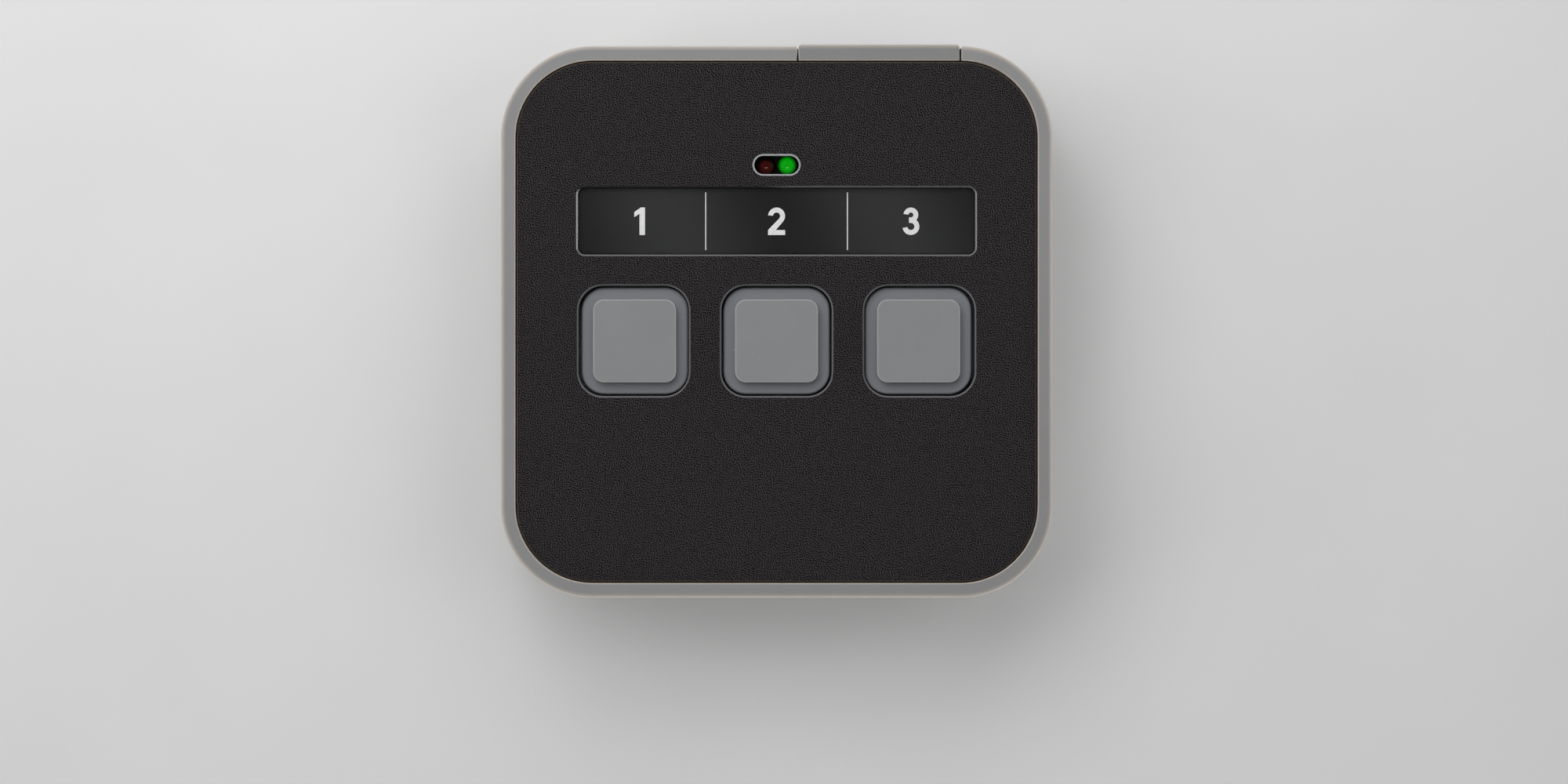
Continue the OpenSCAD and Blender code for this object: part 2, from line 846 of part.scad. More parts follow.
// Controller chip, with bent legs along both sides
module controller_chip() {
    leg_pitch = chip_l / chip_legs;
    leg_w = leg_pitch / 3;
    leg_t = chip_h / 8;
    color("#26272a")
        translate([-notch_xy + chip_l, board_side / 2 - chip_inset, board_top]) {
            translate([-chip_l / 2, -chip_w / 2, leg_t])
                cube([chip_l, chip_w, chip_h - leg_t]);
            for (leg = [0 : chip_legs - 1], side = [-1, 1])
                translate([(leg - (chip_legs - 1) / 2) * leg_pitch, 0, 0])
                    mirror([0, side < 0 ? 1 : 0, 0])
                        rotate([90, 0, 90])
                            linear_extrude(leg_w, center = true)
                                polygon([
                                    [chip_w / 2 - leg_t, chip_h / 2],
                                    [chip_w / 2 + 2 * leg_t, chip_h / 2],
                                    [chip_w / 2 + 3 * leg_t, leg_t],
                                    [chip_w / 2 + 5 * leg_t, leg_t],
                                    [chip_w / 2 + 5 * leg_t, 0],
                                    [chip_w / 2 + 2 * leg_t, 0],
                                    [chip_w / 2 + leg_t, chip_h / 2 - leg_t],
                                    [chip_w / 2 - leg_t, chip_h / 2 - leg_t]
                                ]);
        }
}

// Timing crystal in its drawn can
module crystal() {
    flange = crystal_h / 6;
    color("#c4c6c9")
        translate([notch_xy - crystal_l, board_side / 2 - chip_inset, board_top]) {
            linear_extrude(flange)
                stadium(crystal_l + 2 * flange, crystal_w + 2 * flange);
            linear_extrude(crystal_h)
                stadium(crystal_l, crystal_w);
        }
}

// Round lamp that stands on the board, with its leads through it
module lamp(side) {
    translate([side * lamp_pitch / 2, lamp_y, 0]) {
        translate([0, 0, board_top])
            cylinder(d = lamp_d, h = lamp_dome_z - board_top);
        translate([0, 0, lamp_dome_z])
            sphere(d = lamp_d);
        lamp_leads()
            translate([0, 0, board_z - lead_tail])
                cylinder(d = lead_d, h = board_t + 2 * lead_tail);
    }
}

module red_lamp() {
    color("#5a1512")
        lamp(-1);
}

module green_lamp() {
    color("#10a51e")
        lamp(1);
}

module lamp_bezel() {
    color("#8d8f94")
        translate([0, lamp_y, bezel_z])
            slot_sweep(slot_w, slot_l)
                difference() {
                    square([bezel_wall, bezel_h]);
                    translate([bezel_wall, bezel_h])
                        corner_cut(bezel_edge_r);
                    translate([0, bezel_h])
                        mirror([1, 0])
                            corner_cut(bezel_edge_r);
                }
}

module label_window() {
    top_z = label_z + card_t + window_t;
    color("#3a3c40")
        translate([0, label_y, 0])
            difference() {
                slab(window_w, window_l, window_corner_r, label_z + card_t, top_z);
                translate([0, 0, top_z])
                    sweep(window_w, window_l, window_corner_r)
                        bevel_cut(window_bevel);
            }
}

module label_card() {
    color("#1f2123")
        translate([0, label_y, 0])
            slab(window_w, window_l, window_corner_r, label_z, label_z + card_t);
}

// Flat sheet of the keypad, with a hole for each key's skirt
module keypad_mat() {
    color("#7d7f82")
        difference() {
            translate([0, key_y, 0])
                slab(mat_w, mat_l, mat_margin, board_top, mat_top);
            at_keys()
                slab(skirt_side, skirt_side, skirt_corner_r, board_top - past, mat_top + past);
        }
}

// Soft key: a rolled shoulder, a raised cap and a hollow underside round the
// post that carries the contact pill
module key(place) {
    hollow_side = key_side - 2 * key_hollow_wall;
    color("#848688")
        translate([place * key_pitch, key_y, 0])
            difference() {
                union() {
                    slab(key_side, key_side, key_corner_r, key_z, crown_z);
                    slab(cap_side, cap_side, cap_corner_r, key_z, cap_z);
                }
                translate([0, 0, crown_z])
                    sweep(key_side, key_side, key_corner_r)
                        corner_cut(shoulder_r);
                translate([0, 0, cap_z])
                    sweep(cap_side, cap_side, cap_corner_r)
                        corner_cut(cap_edge_r);
                difference() {
                    slab(hollow_side, hollow_side, cap_corner_r, key_z - past, key_z + key_hollow);
                    translate([0, 0, key_z - 2 * past])
                        cylinder(d = pill_d + 2 * fit_gap, h = key_hollow + 3 * past);
                }
            }
}

module key_left() {
    key(-1);
}

module key_middle() {
    key(0);
}

module key_right() {
    key(1);
}

// Thin skirt that slopes from a key down to the keypad's sheet
module key_skirt(place) {
    color("#7d7f82")
        translate([place * key_pitch, key_y, 0])
            sweep(key_side, key_side, key_corner_r)
                polygon([
                    [fit_gap, key_z], [skirt_run, mat_top - skirt_t],
                    [skirt_run, mat_top], [fit_gap, key_z + skirt_t]
                ]);
}

module key_skirt_left() {
    key_skirt(-1);
}

module key_skirt_middle() {
    key_skirt(0);
}

module key_skirt_right() {
    key_skirt(1);
}

// Conducting disc under a key
module contact_pill(place) {
    color("#1c1c1e")
        translate([place * key_pitch, key_y, pill_z])
            cylinder(d = pill_d, h = pill_t);
}

module contact_pill_left() {
    contact_pill(-1);
}

module contact_pill_middle() {
    contact_pill(0);
}

module contact_pill_right() {
    contact_pill(1);
}

// Screw that points up from the origin, with a cross in its round head
module screw(shank_d, shank_l, head_d, head_h) {
    slot = head_d / 6;
    difference() {
        union() {
            cylinder(d = shank_d, h = shank_l);
            translate([0, 0, -head_h])
                cylinder(d = head_d, h = head_h);
        }
        for (turn = [0, 90])
            rotate(turn)
                translate([-head_d / 3, -slot / 2, -head_h - past])
                    cube([2 * head_d / 3, slot, past + head_h / 2]);
    }
}

module housing_screws() {
    color("#6d6f72")
        at_corners(screw_xy, screw_xy)
            translate([0, 0, head_seat_z])
                screw(screw_d, screw_tip_z - head_seat_z, screw_head_d, screw_head_h);
}

module board_screws() {
    color("#b5b7ba")
        at_corners(post_x, post_y)
            translate([0, 0, board_top])
                mirror([0, 0, 1])
                    screw(board_screw_d, board_t + board_screw_l, board_head_d, board_head_h);
}

module rubber_feet() {
    color("#3b3c3e")
        at_corners(foot_x, foot_y)
            rotate_extrude()
                difference() {
                    square([foot_d / 2, foot_h]);
                    translate([foot_d / 2, 0])
                        mirror([0, 1])
                            corner_cut(foot_edge_r);
                }
}

front_shell();
rear_shell();
bumper_ring();
battery_door();
door_contact();
door_spring();
aaa_cell_left();
aaa_cell_right();
plate_terminal();
spring_terminal();
terminal_spring();
circuit_board();
contact_pads();
antenna_trace();
radio_module();
controller_chip();
crystal();
red_lamp();
green_lamp();
lamp_bezel();
label_window();
label_card();
keypad_mat();
key_left();
key_middle();
key_right();
key_skirt_left();
key_skirt_middle();
key_skirt_right();
contact_pill_left();
contact_pill_middle();
contact_pill_right();
housing_screws();
board_screws();
rubber_feet();
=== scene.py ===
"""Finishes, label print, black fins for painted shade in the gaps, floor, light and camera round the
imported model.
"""
import math

import bmesh
import bpy
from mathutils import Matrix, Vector


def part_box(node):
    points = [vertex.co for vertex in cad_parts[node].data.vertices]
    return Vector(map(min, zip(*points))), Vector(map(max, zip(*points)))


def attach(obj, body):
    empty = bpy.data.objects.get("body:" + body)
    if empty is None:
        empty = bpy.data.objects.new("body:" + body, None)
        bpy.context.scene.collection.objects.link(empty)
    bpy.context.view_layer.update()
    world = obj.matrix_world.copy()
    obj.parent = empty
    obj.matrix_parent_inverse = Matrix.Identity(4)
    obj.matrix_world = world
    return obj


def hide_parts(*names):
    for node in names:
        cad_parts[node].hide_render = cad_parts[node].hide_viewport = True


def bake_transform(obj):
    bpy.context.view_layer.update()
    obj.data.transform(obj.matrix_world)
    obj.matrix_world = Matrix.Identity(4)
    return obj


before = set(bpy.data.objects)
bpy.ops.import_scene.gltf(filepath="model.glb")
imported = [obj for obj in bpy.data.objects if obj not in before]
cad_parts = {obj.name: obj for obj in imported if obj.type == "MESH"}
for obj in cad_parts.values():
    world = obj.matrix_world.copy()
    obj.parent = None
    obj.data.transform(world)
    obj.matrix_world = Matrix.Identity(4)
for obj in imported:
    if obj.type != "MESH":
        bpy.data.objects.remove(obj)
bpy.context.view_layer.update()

MM = 0.001
WHITE = (1.0, 1.0, 1.0, 1.0)
BLACK = (0.0, 0.0, 0.0, 1.0)

# The photograph's frame, and where the body lies in it
PHOTO_WIDTH_PX = 2000
PHOTO_CENTRE_PX = (1000, 500)
BODY_WIDTH_PX = 704
BODY_CENTRE_PX = (990.5, 410.5)

# The camera's height above the face in metres, and its sensor's width in millimetres
CAMERA_HEIGHT = 0.6
SENSOR_WIDTH = 36.0

FACE_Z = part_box("front_shell")[1].z
KEYS = ("left", "middle", "right")


def grey(level, warmth=0.0, rose=0.0):
    """Linear grey from a display level of 0 to 255.

    Warmth lifts red over blue, and rose lifts both over green.
    """
    share = level / 255
    linear = share / 12.92 if share <= 0.04045 else ((share + 0.055) / 1.055) ** 2.4
    return (linear * (1 + warmth + rose), linear * (1 - rose), linear * (1 - warmth + rose), 1.0)


# Shader building blocks


def new_material(name):
    """A new node material, with its tree and its Principled shader."""
    material = bpy.data.materials.new(name)
    material.use_nodes = True
    return material, material.node_tree, material.node_tree.nodes["Principled BSDF"]


def feed(tree, socket, value):
    """Links another node's socket, or sets the value."""
    if isinstance(value, bpy.types.NodeSocket):
        tree.links.new(value, socket)
    else:
        socket.default_value = value


def feed_all(tree, node, inputs):
    """Feeds several inputs of a node, each with a socket or a value."""
    for key, value in inputs.items():
        feed(tree, node.inputs[key], value)


def add(tree, kind, inputs=None, **settings):
    """A new node: settings are its properties, inputs are values or sockets to link."""
    made = tree.nodes.new(kind)
    for key, value in settings.items():
        setattr(made, key, value)
    feed_all(tree, made, inputs or {})
    return made


def calc(tree, operation, first, second=0.0):
    """One step of arithmetic on values that vary over the surface."""
    return add(tree, "ShaderNodeMath", {0: first, 1: second}, operation=operation).outputs[0]


def vector_calc(tree, operation, first, second=(0.0, 0.0, 0.0)):
    """One step of arithmetic on vectors; a dot product or a length comes out as a single value."""
    made = add(tree, "ShaderNodeVectorMath", {0: first, 1: second}, operation=operation)
    return made.outputs["Value" if operation in ("DOT_PRODUCT", "LENGTH") else "Vector"]


def place(tree):
    """Place on the piece in millimetres, in the frame of the whole object."""
    coords = add(tree, "ShaderNodeTexCoord").outputs["Object"]
    scaled = add(tree, "ShaderNodeVectorMath", {0: coords, "Scale": 1 / MM}, operation="SCALE")
    return scaled.outputs["Vector"]


def surface_normal(tree):
    """Direction that the surface faces, in the frame of the whole object."""
    return add(tree, "ShaderNodeTexCoord").outputs["Normal"]


def axis_value(tree, vector, axis):
    """One of a vector's three values."""
    return add(tree, "ShaderNodeSeparateXYZ", {0: vector}).outputs[axis]


def facing(tree, axis):
    """How squarely the surface faces along one of the object's axes, from 0 to 1."""
    return calc(tree, "ABSOLUTE", axis_value(tree, surface_normal(tree), axis))


def stretch(tree, vector, factors):
    """The place with each axis scaled, to draw a pattern out along an axis with a small factor."""
    return add(tree, "ShaderNodeMapping", {"Vector": vector, "Scale": factors}).outputs[0]


def noise(tree, vector, size, detail=2.0, roughness=0.5):
    """Soft noise whose lumps are about size millimetres across."""
    settings = {"Vector": vector, "Scale": 1 / size, "Detail": detail, "Roughness": roughness}
    return add(tree, "ShaderNodeTexNoise", settings).outputs["Fac"]


# Waves across one lump of the winding ridges
WORM_WAVES = 1.7


def worms(tree, vector, pitch, degrees, order):
    """Winding ridges about pitch millimetres apart; order from 0 to 1 turns them along one direction."""
    settings = {
        "Vector": vector,
        "Scale": 1 / (WORM_WAVES * pitch),
        "Frequency": WORM_WAVES,
        "Anisotropy": order,
        "Orientation": math.radians(degrees),
    }
    made = add(tree, "ShaderNodeTexGabor", gabor_type="2D")
    in_use = {socket.name: socket for socket in made.inputs if socket.enabled}
    for key, value in settings.items():
        feed(tree, in_use[key], value)
    return made.outputs["Value"]


def remap(tree, value, low, high, new_low=0.0, new_high=1.0):
    """Smooth step from one range of values to another."""
    made = add(
        tree,
        "ShaderNodeMapRange",
        {"Value": value, 1: low, 2: high, 3: new_low, 4: new_high},
        interpolation_type="SMOOTHSTEP",
    )
    return made.outputs["Result"]


def fade(tree, value, low, high):
    """Falls smoothly from 1 to 0 between two values."""
    return remap(tree, value, low, high, 1.0, 0.0)


def band(tree, value, low, peak_low, peak_high, high):
    """Rises from 0 to 1 between the first two values and falls again between the last two."""
    return calc(tree, "MULTIPLY", remap(tree, value, low, peak_low), fade(tree, value, peak_high, high))


def ramp(tree, value, stops):
    """Colour along a list of (position, colour) stops."""
    made = add(tree, "ShaderNodeValToRGB", {"Fac": value})
    elements = made.color_ramp.elements
    while len(elements) < len(stops):
        elements.new(1.0)
    for element, (position, colour) in zip(elements, stops):
        element.position = position
        element.color = colour
    return made.outputs["Color"]


# Most of a noise lies between these two values
NOISE_SPAN = (0.3, 0.7)


def varied(tree, value, low, high):
    """Spreads a noise over a range of values."""
    return remap(tree, value, *NOISE_SPAN, low, high)


def mottled(tree, value, dark, light):
    """Spreads a noise between two colours."""
    return ramp(tree, value, list(zip(NOISE_SPAN, (dark, light))))


# A mix node's inputs for the share and the two colours, and its output for the mixed colour
MIX_SHARE = 0
MIX_FIRST = 6
MIX_SECOND = 7
MIX_RESULT = 2


def blend(tree, share, first, second, blend_type="MIX"):
    """Mixes two colours, each a value or a socket, by a share that may vary over the surface."""
    inputs = {MIX_SHARE: share, MIX_FIRST: first, MIX_SECOND: second}
    made = add(tree, "ShaderNodeMix", inputs, data_type="RGBA", blend_type=blend_type)
    return made.outputs[MIX_RESULT]


def mix_shaders(tree, share, first, second):
    """Mixes two shader nodes by a share that varies over the surface."""
    return add(tree, "ShaderNodeMixShader", {0: share, 1: first.outputs[0], 2: second.outputs[0]})


def show(tree, shader):
    """Makes a shader node the one that the material shows."""
    tree.links.new(shader.outputs[0], tree.nodes["Material Output"].inputs["Surface"])


def relief(tree, height, depth, strength=1.0):
    """Bump of that depth in millimetres; strength may vary over the surface."""
    made = add(tree, "ShaderNodeBump", {"Height": height, "Strength": strength, "Distance": depth * MM})
    return made.outputs["Normal"]


# A dust speck's solid part and its edge, as shares of the spacing, and the step that picks its cell
SPECK_SOLID = 0.05
SPECK_EDGE = 0.12
SPECK_STEP = 0.01


def specks(tree, vector, spacing, share):
    """Mask of small dust specks: one cell in many, near the cell's middle."""
    cells = add(tree, "ShaderNodeTexVoronoi", {"Vector": vector, "Scale": 1 / spacing})
    pick = axis_value(tree, cells.outputs["Color"], "X")
    chosen = remap(tree, pick, 1 - share, 1 - share + SPECK_STEP)
    near = fade(tree, cells.outputs["Distance"], SPECK_SOLID, SPECK_EDGE)
    return calc(tree, "MULTIPLY", chosen, near)


# How many times finer the second noise of a plain finish is
FINER = 8


def plain_finish(name, dark, light, rough, lump=1.5, depth=0.01, metallic=0.0, draw_out=(1, 1, 1)):
    """A finish whose colour, gloss and relief vary a little with two noises.

    The size of the broad lumps and the depth of the relief are in millimetres.
    """
    material, tree, shader = new_material(name)
    where = stretch(tree, place(tree), draw_out)
    broad = noise(tree, where, size=lump, detail=3.0)
    fine = noise(tree, where, size=lump / FINER)
    inputs = {
        "Base Color": mottled(tree, broad, dark, light),
        "Roughness": varied(tree, fine, *rough),
        "Normal": relief(tree, fine, depth),
        "Metallic": metallic,
    }
    feed_all(tree, shader, inputs)
    return material


# Finishes of the outside

# The shell's grain, in millimetres, and the range of the ridges' heights
GRAIN_PITCH = 0.35
GRAIN_DEPTH = 0.15
GRAIN_SPAN = (0.28, 0.72)

# How squarely the shell's flat faces, its bevels and its rolled edge face up
FLAT_FACING = (0.97, 0.995)
BEVEL_FACING = (0.66, 0.69, 0.725, 0.755)
ROLLED_FACING = (0.05, 0.3, 0.9, 0.99)

# Where the shell's rolled edge begins, in millimetres from the middle
OUTER_EDGE = (33.0, 34.0)

# Weight of the glossy coat on the bevels
BEVEL_COAT = 0.6

# The painted highlight on the bevel along the label's top: how far below the window's top edge it ends, in
# millimetres, half the stretch over which it turns from dark to pale, and how pale it gets
LABEL_BEVEL_END = (0.3, 0.1)
LABEL_BEVEL_TURN = 3.0
LABEL_BEVEL_SHARE = 0.6


def grained_shell():
    """Black moulded plastic: wormy grain on flat faces, pale bevels and a brown rolled edge.

    The grain's hollows are painted darker and its ridges paler, as painted shade and painted light. The
    bevels' pale is a painted highlight. The rolled edge's brown is lighter than the face, as painted light
    in the groove by the rim.
    The bevel along the top of the label stays dark on the left, a painted shade, and is over half as pale on
    the right.
    """
    material, tree, shader = new_material("grained_black_plastic")
    plain = grey(36, warmth=0.02, rose=0.045)
    ridge_painted_light = grey(60, warmth=0.02, rose=0.045)
    # Brown for the rolled edge by the rim, lighter than the face: painted light in the groove there.
    brown_painted_light = grey(60, warmth=0.25)
    # Pale for the bevels: a painted highlight where they catch light. The coat on them is real gloss.
    bevel_painted_highlight = grey(100, warmth=-0.02, rose=0.01)
    where = place(tree)
    up = facing(tree, "Z")
    flat = remap(tree, up, *FLAT_FACING)
    x, y = (axis_value(tree, where, axis) for axis in "XY")
    label_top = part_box("label_window")[1].y / MM
    # The painted highlight is held back on the left part of the bevel along the label's top, which stays
    # dark there as painted shade.
    below_label_top = fade(tree, y, *(label_top - end for end in LABEL_BEVEL_END))
    along_label = remap(tree, x, -LABEL_BEVEL_TURN, LABEL_BEVEL_TURN, 0.0, LABEL_BEVEL_SHARE)
    bevel_highlight_share = calc(tree, "MAXIMUM", below_label_top, along_label)
    bevel = calc(tree, "MULTIPLY", band(tree, up, *BEVEL_FACING), bevel_highlight_share)
    reach = calc(tree, "MAXIMUM", calc(tree, "ABSOLUTE", x), calc(tree, "ABSOLUTE", y))
    outer = remap(tree, reach, *OUTER_EDGE)
    rolled = calc(tree, "MULTIPLY", band(tree, up, *ROLLED_FACING), outer)
    patches = noise(tree, where, size=9.0)
    ridges = worms(tree, where, GRAIN_PITCH, degrees=45, order=0.25)
    height = remap(tree, ridges, *GRAIN_SPAN)
    # Hollows of the grain painted near black and ridges painted paler: painted shade and painted light on
    # the grain.
    grain = ramp(tree, height, [(0.0, BLACK), (1.0, ridge_painted_light)])
    faces = blend(tree, varied(tree, patches, 0.0, 0.15), grain, plain)
    edged = blend(tree, rolled, blend(tree, flat, plain, faces), brown_painted_light)
    inputs = {
        "Base Color": blend(tree, bevel, edged, bevel_painted_highlight),
        "Roughness": remap(tree, flat, 0.0, 1.0, new_low=0.34, new_high=0.5),
        "Normal": relief(tree, height, GRAIN_DEPTH, flat),
        "Coat Weight": calc(tree, "MULTIPLY", bevel, BEVEL_COAT),
        "Coat Roughness": 0.2,
        "Specular IOR Level": 0.12,
    }
    feed_all(tree, shader, inputs)
    return material


# How much a dust speck covers
DUST_COVER = 0.5


def silicone_skin(tree, shader, where, colour):
    """Gives a matt silicone its fine skin, its dust and a little depth."""
    skin = noise(tree, where, size=0.25, detail=3.0, roughness=0.65)
    dust = calc(tree, "MULTIPLY", specks(tree, where, spacing=1.3, share=0.04), DUST_COVER)
    inputs = {
        "Base Color": blend(tree, dust, colour, grey(205)),
        "Roughness": varied(tree, skin, 0.52, 0.66),
        "Normal": relief(tree, skin, depth=0.01),
        "Specular IOR Level": 0.3,
        "Subsurface Weight": 0.12,
        "Subsurface Radius": (1.0, 0.9, 0.8),
        "Subsurface Scale": 0.4 * MM,
    }
    feed_all(tree, shader, inputs)


# The rim's tones by how squarely it faces up, on the sides that look outward and inward: paler, warmer
# painted highlights on its rolled edges
RIM_OUTER_PAINTED_LIGHT = [
    (0.0, grey(138, warmth=0.01)),
    (0.12, grey(144, warmth=0.03)),
    (0.35, grey(182, warmth=0.09)),
    (0.63, grey(166, warmth=0.1)),
    (0.78, grey(156, warmth=0.09)),
    (0.88, grey(149, warmth=0.08)),
    (0.95, grey(142, warmth=0.05)),
    (1.0, grey(136)),
]
RIM_INNER_PAINTED_LIGHT = [
    (0.0, grey(60, warmth=0.15)),
    (0.4, grey(150, warmth=0.18)),
    (0.7, grey(160, warmth=0.09)),
    (0.93, grey(158, warmth=0.05)),
    (1.0, grey(136)),
]

# Where the rim's roll and its wall count as inward, by how squarely they face away from the middle,
# and how little the wall faces up
INWARD_ROLL = (-0.15, 0.0)
INWARD_WALL = (-0.75, -0.65)
WALL_FACING = (0.1, 0.4)

# How much darker the rim's clouds are, in display levels
CLOUD_DEPTH = 4


def rim_silicone(name, shade):
    """Grey rim: paler and warmer where it rolls over to its sides and into its groove, as painted
    highlights.
    Its groove's wall is pale and warm, a painted light that shows brown in the shade there.

    A shade below 255 darkens it all over.
    """
    material, tree, shader = new_material(name)
    where = place(tree)
    up = facing(tree, "Z")
    level = vector_calc(tree, "MULTIPLY", where, (1, 1, 0))
    outward = vector_calc(tree, "NORMALIZE", level)
    away = vector_calc(tree, "DOT_PRODUCT", surface_normal(tree), outward)
    inward = fade(tree, away, *INWARD_ROLL)
    turned = blend(tree, inward, ramp(tree, up, RIM_OUTER_PAINTED_LIGHT), ramp(tree, up, RIM_INNER_PAINTED_LIGHT))
    wall = calc(tree, "MULTIPLY", fade(tree, away, *INWARD_WALL), fade(tree, up, *WALL_FACING))
    # The groove's wall gets a pale warm colour, a painted light that shows brown in the groove's shade.
    rounded_painted_light = blend(tree, wall, turned, grey(190, warmth=0.22))
    clouds = noise(tree, where, size=5.0, detail=3.0)
    tone = mottled(tree, clouds, grey(shade - CLOUD_DEPTH), grey(shade))
    silicone_skin(tree, shader, where, blend(tree, 1.0, rounded_painted_light, tone, "MULTIPLY"))
    return material


# Between these depths below the face, in millimetres, a key's shoulder gives way to its cap
CAP_FOOT = (0.9, 0.3)

# How squarely the rounded edge of a key's cap faces up, where it gets a painted highlight
CAP_EDGE_FACING = (0.15, 0.4, 0.9, 0.99)


def key_silicone():
    """Grey keys: a painted highlight, a thin pale line, along the cap's edge, and a cooler shoulder below.
    """
    material, tree, shader = new_material("key_silicone")
    where = place(tree)
    cap = remap(tree, axis_value(tree, where, "Z"), *(FACE_Z / MM - depth for depth in CAP_FOOT))
    clouds = noise(tree, where, size=7.0)
    cap_tone = mottled(tree, clouds, grey(130, warmth=-0.015), grey(133, warmth=-0.015))
    body = blend(tree, cap, grey(131, warmth=-0.05, rose=0.012), cap_tone)
    cap_edge_highlight = calc(tree, "MULTIPLY", cap, band(tree, facing(tree, "Z"), *CAP_EDGE_FACING))
    silicone_skin(tree, shader, where, blend(tree, cap_edge_highlight, body, grey(147)))
    return material


# How squarely a lamp's dome faces its brightest way at its side and top tones, painted light, and at the
# steps of its glow
LENS_STEPS = (0.45, 0.95)
GLOW_STEPS = (0.3, 0.64, 0.84)


def lamp_lens(name, brightest, side, top, glow=None):
    """Tinted lamp lens: most colour where its dome faces the given way, as painted light, and a lit one
    glows there.
    """
    material, tree, shader = new_material(name)
    way = Vector(brightest).normalized()
    turned = vector_calc(tree, "DOT_PRODUCT", surface_normal(tree), way)
    swirl = noise(tree, place(tree), size=0.5)
    inputs = {
        "Base Color": ramp(tree, turned, list(zip(LENS_STEPS, (side, top)))),
        "Roughness": varied(tree, swirl, 0.08, 0.13),
        "Specular IOR Level": 0.25,
    }
    if glow:
        inputs["Emission Color"] = ramp(tree, turned, list(zip(GLOW_STEPS, (BLACK, *glow))))
        inputs["Emission Strength"] = 1.0
    feed_all(tree, shader, inputs)
    return material


def clear_pane():
    """Thin clear plastic: it lets the card show through and takes on a faint gloss from outside."""
    material, tree, shader = new_material("clear_window")
    tree.nodes.remove(shader)
    haze = noise(tree, place(tree), size=5.0)
    rough = varied(tree, haze, 0.1, 0.16)
    gloss = add(tree, "ShaderNodeBsdfGlossy", {"Color": WHITE, "Roughness": rough})
    through = add(tree, "ShaderNodeBsdfTransparent", {"Color": WHITE})
    outside = calc(tree, "SUBTRACT", 1.0, add(tree, "ShaderNodeNewGeometry").outputs["Backfacing"])
    mirrored = add(tree, "ShaderNodeFresnel", {"IOR": 1.3}).outputs[0]
    share = calc(tree, "MULTIPLY", mirrored, outside)
    show(tree, mix_shaders(tree, share, through, gloss))
    return material


# The card's sheen, a painted reflection: how far apart its darkest places are and where one lies, in
# millimetres, and its slant
SHEEN_PITCH = 33.65
SHEEN_START = 0.55
SHEEN_SLANT = 0.34

# How much the paper's fibre stirs the sheen
FIBRE_SHARE = 0.3


def card_with_painted_sheen(middle_y):
    """Dark printed card, with a soft slanting sheen that comes and goes along it, a painted reflection in
    its colour.
    """
    material, tree, shader = new_material("label_card_painted_sheen")
    where = place(tree)
    rise = calc(tree, "SUBTRACT", axis_value(tree, where, "Y"), middle_y / MM)
    slanted = calc(tree, "ADD", axis_value(tree, where, "X"), calc(tree, "MULTIPLY", rise, SHEEN_SLANT))
    along = calc(tree, "SUBTRACT", slanted, SHEEN_START)
    wave = calc(tree, "COSINE", calc(tree, "MULTIPLY", along, 2 * math.pi / SHEEN_PITCH))
    paper = noise(tree, where, size=0.2, detail=3.0)
    fibre = calc(tree, "MULTIPLY", calc(tree, "SUBTRACT", paper, 0.5), FIBRE_SHARE)
    sheen = calc(tree, "ADD", calc(tree, "MULTIPLY", wave, -0.5), calc(tree, "ADD", fibre, 0.5))
    tones = [(0.0, grey(24, warmth=-0.01)), (1.0, grey(46, warmth=-0.01))]
    inputs = {
        "Base Color": ramp(tree, sheen, tones),
        "Roughness": varied(tree, paper, 0.5, 0.6),
        "Normal": relief(tree, paper, depth=0.004),
        "Specular IOR Level": 0.2,
    }
    feed_all(tree, shader, inputs)
    return material


# Finishes of the inside

# A cell's pale ring, in millimetres from the end at the door, and how squarely its bare ends face along it
RING_FROM_END = (9.0, 8.8, 5.0, 4.8)
CELL_END_FACING = (0.75, 0.95)


def cell_sleeve(node):
    """Cell: bare steel ends, a printed sleeve and a pale ring near one end."""
    material, tree, shader = new_material("sleeve_" + node)
    door_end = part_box(node)[1].y / MM
    where = place(tree)
    ends = remap(tree, facing(tree, "Y"), *CELL_END_FACING)
    ring = band(tree, axis_value(tree, where, "Y"), *(door_end - inward for inward in RING_FROM_END))
    scuffs = noise(tree, stretch(tree, where, (1, 0.2, 1)), size=1.2, detail=3.0)
    sleeve = mottled(tree, scuffs, (0.028, 0.075, 0.13, 1), (0.04, 0.1, 0.16, 1))
    banded = blend(tree, ring, sleeve, grey(190))
    inputs = {
        "Base Color": blend(tree, ends, banded, grey(200, warmth=0.02)),
        "Metallic": ends,
        "Roughness": varied(tree, scuffs, 0.25, 0.4),
    }
    feed_all(tree, shader, inputs)
    return material


# The board's copper lines: their spacing in millimetres, and where they fade at each side as shares of it
TRACE_SPACING = 4.0
TRACE_HALF = (0.03, 0.06)

# How squarely the board's faces, in contrast to its cut edges, face up
BOARD_FACING = (0.3, 0.7)


def board_laminate():
    """Green board: pale lines of covered copper on its faces, bare glass weave on its cut edges."""
    material, tree, shader = new_material("board_laminate")
    where = place(tree)
    cells = {"Vector": where, "Scale": 1 / TRACE_SPACING}
    lines = add(tree, "ShaderNodeTexVoronoi", cells, feature="DISTANCE_TO_EDGE").outputs["Distance"]
    traces = fade(tree, lines, *TRACE_HALF)
    mask = mottled(tree, noise(tree, where, size=3.0), (0.008, 0.08, 0.025, 1), (0.012, 0.1, 0.035, 1))
    face = blend(tree, traces, mask, (0.03, 0.16, 0.06, 1))
    cut = fade(tree, facing(tree, "Z"), *BOARD_FACING)
    inputs = {
        "Base Color": blend(tree, cut, face, (0.3, 0.27, 0.14, 1)),
        "Roughness": remap(tree, cut, 0.0, 1.0, new_low=0.3, new_high=0.8),
        "Normal": relief(tree, traces, depth=0.03),
    }
    feed_all(tree, shader, inputs)
    return material


# How far a chip's legs stand out from its body, and the width of the seam between both, in millimetres
LEG_RUN = 0.95
LEG_SEAM = 0.02


